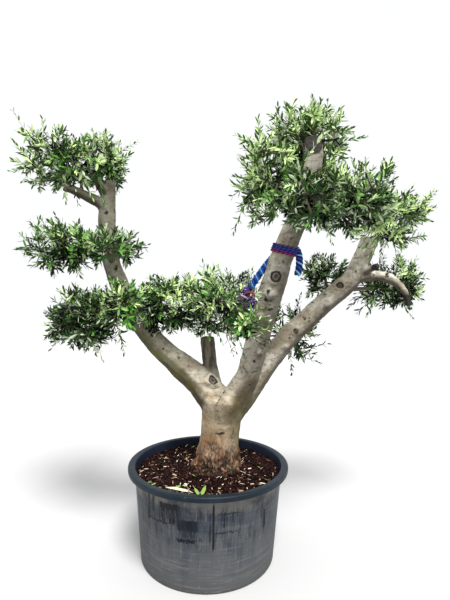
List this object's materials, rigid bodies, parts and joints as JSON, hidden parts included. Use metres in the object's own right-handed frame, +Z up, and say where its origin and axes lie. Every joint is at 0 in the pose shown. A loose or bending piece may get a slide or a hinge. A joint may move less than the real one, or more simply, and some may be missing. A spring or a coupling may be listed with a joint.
{
  "type": "potted olive tree",
  "caption": "Cloud-pruned olive tree with a short flared trunk, spreading boughs and rounded foliage pads, in a wide round nursery pot with soil.",
  "frame": {"origin": "centre of the pot's flat underside, at the level that the pot stands on", "axes": "+Z up, -Y towards the front of the tree, +X to the right as seen from the front"},
  "size_m": [2.2342, 0.8961, 2.2315],
  "materials": {
    "pot": "dusty blue-grey, scuffed moulded plastic",
    "soil": "moist bark mulch with pale chips",
    "bark": "smooth pale bark with small scars, rough and orange-brown at the foot",
    "old_bark": "weathered grey dead wood",
    "foliage": "leathery grey-green leaves, paler below",
    "rope": "braided blue, red and white cord"
  },
  "bodies": {
    "root": {"pot": "pot", "soil": "soil", "trunk": "bark", "left_bough_lower": "bark", "left_bough_upper": "bark", "left_arm": "bark", "stub": "old_bark", "centre_bough": "bark", "right_bough": "bark", "right_arm": "bark", "right_hook": "bark", "tie_band": "rope", "tie_cord": "rope", "pad_left_top": "foliage", "pad_left_crown": "foliage", "pad_left_middle": "foliage", "pad_left_collar": "foliage", "pad_left_inner": "foliage", "pad_left_low": "foliage", "pad_left_front": "foliage", "pad_left_fork": "foliage", "pad_centre_low": "foliage", "pad_behind": "foliage", "pad_top_left": "foliage", "pad_top_front": "foliage", "pad_top_back": "foliage", "pad_top_right": "foliage", "pad_top_crown": "foliage", "pad_right_crown": "foliage", "pad_right_back": "foliage", "pad_right_low": "foliage"}
  },
  "joints": []
}
